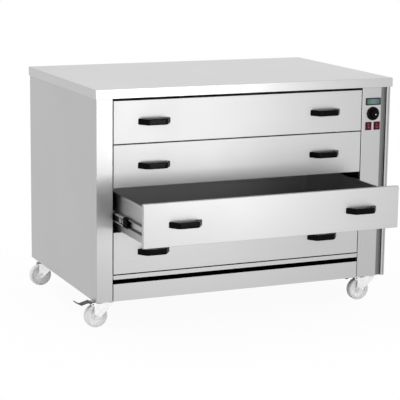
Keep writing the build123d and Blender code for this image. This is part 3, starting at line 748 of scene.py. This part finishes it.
def add_knob():
    """Bore for the shaft, skirt, fluted grip and dished cap, with a pointer dot beside the cap's middle."""
    low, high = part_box("thermostat_knob")
    centre = middle("thermostat_knob")
    drawn_width = 56 * mm
    flutes, flute_depth = 20, 0.05
    fluted_from, fluted_to, fluted_outside = 6.5 * mm, 16.2 * mm, 15 * mm
    bore = [(0, 13.5), (3.2, 13.5), (3.2, 0)]
    skirt = [(26.5, 0), (27.6, 0.5), (28, 1.4), (28, 3.0), (27.5, 4.2), (26.2, 4.8), (21.5, 5.0)]
    grip = [(19.2, 5.2), (18.2, 6.0), (17.9, 7.0), (17.4, 14.6), (17.0, 15.9), (15.9, 16.8)]
    cap = [(14.9, 17.0), (14.0, 16.7), (13.2, 16.2), (0, 15.9)]
    bm = bmesh.new()
    widen = (high.x - low.x) / drawn_width
    profile = [(radius * widen * mm, height * mm) for radius, height in bore + skirt + grip + cap]
    turned(bm, profile, 120, upright, (0, 0, 0))
    for vert in bm.verts:
        radius = vert.co.xy.length
        if fluted_from < vert.co.z < fluted_to and radius > fluted_outside * widen:
            wave = 0.5 + 0.5 * math.cos(flutes * math.atan2(vert.co.y, vert.co.x))
            vert.co.xy *= 1 - flute_depth * wave**2
    place = Matrix.Translation((centre.x, high.y, centre.z)) @ to_front
    bmesh.ops.transform(bm, matrix=place, verts=bm.verts)
    finish_piece("thermostat_dial_knob", bm, "knob", "knob_plastic", replaced=["thermostat_knob"])

    bm = bmesh.new()
    cap_face, dot_right, dot_down = 15.9 * mm, 6 * mm, 3 * mm
    spot = (centre.x + dot_right, high.y - cap_face, centre.z - dot_down)
    dot = [(0, 0), (2.6, 0), (2.6, 0.3), (2.2, 0.6), (0, 0.7)]
    turned(bm, [(r * mm, h * mm) for r, h in dot], 24, to_front, spot)
    finish_piece("knob_pointer_dot", bm, "knob", "knob_plastic", "pointer_paint")


# Rocker switches


def add_rocker(side):
    """A rocker with a shallow V face, pressed in at its top, and plain on and off marks."""
    node = f"rocker_{side}"
    joint = next(j for j in frame["joints"] if j["name"] == f"rocker_{side}_tilt")
    pivot = Vector(joint["pos_m"])
    width = 21 * mm
    half_height = 13.7
    edge_out, waist_out, dish = 4, 2.2, 1.8
    back_edge, back_middle, back_taper = 3.5, 7, 0.4
    mark_rise, mark_height = 6.4, 0.15
    rest_tilt = math.radians(-10)
    tilt = Matrix.Translation(pivot) @ Matrix.Rotation(rest_tilt, 4, "X")
    profile = [
        (-edge_out, half_height), (-waist_out, 0), (-edge_out, -half_height),
        (back_edge, back_taper - half_height), (back_middle, 0), (back_edge, half_height - back_taper),
    ]
    bm = bmesh.new()
    prism(bm, [(y * mm, z * mm) for y, z in profile], width, side_on, (-width / 2, 0, 0))
    outer = [e for e in bm.edges if e.calc_face_angle(0) > math.radians(60)]
    bevel_edges(bm, outer, 1.1 * mm, 3)
    bmesh.ops.transform(bm, matrix=tilt, verts=bm.verts)
    finish_piece(f"{node}_key", bm, node, "rocker_red", replaced=[node])

    slope = math.atan2(dish, half_height)
    out = -waist_out - dish * mark_rise / half_height
    bm = bmesh.new()
    for up, lean in ((mark_rise, slope), (-mark_rise, -slope)):
        face = tilt @ Matrix.Translation((0, out * mm, up * mm)) @ Matrix.Rotation(lean, 4, "X") @ to_front
        if up > 0:
            bar = [(-0.5, -2.4), (0.5, -2.4), (0.5, 2.4), (-0.5, 2.4)]
            made = prism(bm, [(x * mm, y * mm) for x, y in bar], mark_height * mm, upright, (0, 0, 0))
            bmesh.ops.transform(bm, matrix=face, verts=made)
        else:
            ring = [(1.6, 0), (2.5, 0), (2.5, mark_height), (1.6, mark_height), (1.6, 0)]
            turned(bm, [(r * mm, h * mm) for r, h in ring], 28, face, (0, 0, 0))
    finish_piece(f"{node}_marks", bm, node, "rocker_red", "mark_paint")


# Casters


wheel_side = [
    (40.9, 12.5), (40.2, 13.8), (38.6, 14.0), (37.0, 13.2), (35.8, 10.4), (34.6, 6.6), (32.0, 4.6),
    (22.0, 4.0), (17.4, 5.2), (15.6, 8.4), (14.8, 17.6), (13.8, 18.8), (5.2, 19.0),
]
tyre_side = [
    (49.9, 5.0), (49.5, 10.0), (48.4, 13.4), (46.4, 15.4), (44.0, 16.0), (42.2, 15.4), (41.0, 13.4),
]


def add_ring(name, side, centre, body, slot, node):
    """A wheel or a tyre, turned from one side of its section and the same side over again, mirrored."""
    one_side = [(radius * mm, out * mm) for radius, out in side]
    other_side = [(radius, -out) for radius, out in one_side[::-1]]
    section = other_side + one_side
    bm = bmesh.new()
    turned(bm, section + section[:1], 72, to_front, centre)
    finish_piece(name, bm, body, slot, replaced=[node])


def add_caster(corner):
    """A wheel with its tyre, and the fork and the axle bolt that carry it."""
    wheel_node = f"caster_wheel_{corner}"
    tyre_node = f"caster_tyre_{corner}"
    centre = middle(wheel_node)
    wheel_body = f"wheel_{corner}"
    fork_body = f"caster_{corner}"
    add_ring(f"{corner}_wheel", wheel_side, centre, wheel_body, "wheel_plastic", wheel_node)
    add_ring(f"{corner}_tyre", tyre_side, centre, wheel_body, "tyre_rubber", tyre_node)
    softened(f"caster_fork_{corner}", f"{corner}_fork", fork_body, "caster_zinc", 0.8 * mm)
    softened(f"caster_axle_{corner}", f"{corner}_axle_bolt", fork_body, "bolt_zinc", 0.8 * mm)


def add_pedals():
    for side in ("left", "right"):
        node = f"brake_pedal_front_{side}"
        softened(node, f"front_{side}_pedal", f"pedal_front_{side}", "pedal_plastic", 0.7 * mm)


# Screws that hold the back panel


def add_back_screws():
    low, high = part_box("back_panel")
    inset = 12 * mm
    bm = bmesh.new()
    for x in (low.x + inset, high.x - inset):
        for share in (0.03, 0.34, 0.66, 0.97):
            place = (x, high.y, low.z + share * (high.z - low.z))
            pan_screw(bm, place, to_back, radius=4.2 * mm, rise=2.2 * mm)
    finish_piece("back_panel_screws", bm, "cabinet", "bolt_zinc")


add_handles()
add_slides()
add_box_hems()
add_knob()
for side in ("left", "right"):
    add_rocker(side)
for corner in ("front_left", "front_right", "back_left", "back_right"):
    add_caster(corner)
add_pedals()
softened("caster_plates", "caster_top_plates", "cabinet", "caster_zinc", 0.6 * mm)
softened("cable_gland", "back_cable_gland", "cabinet", "gland_plastic", 0.6 * mm)
softened("switch_frames", "rocker_switch_frames", "cabinet", "switch_plastic", 0.5 * mm)
add_back_screws()
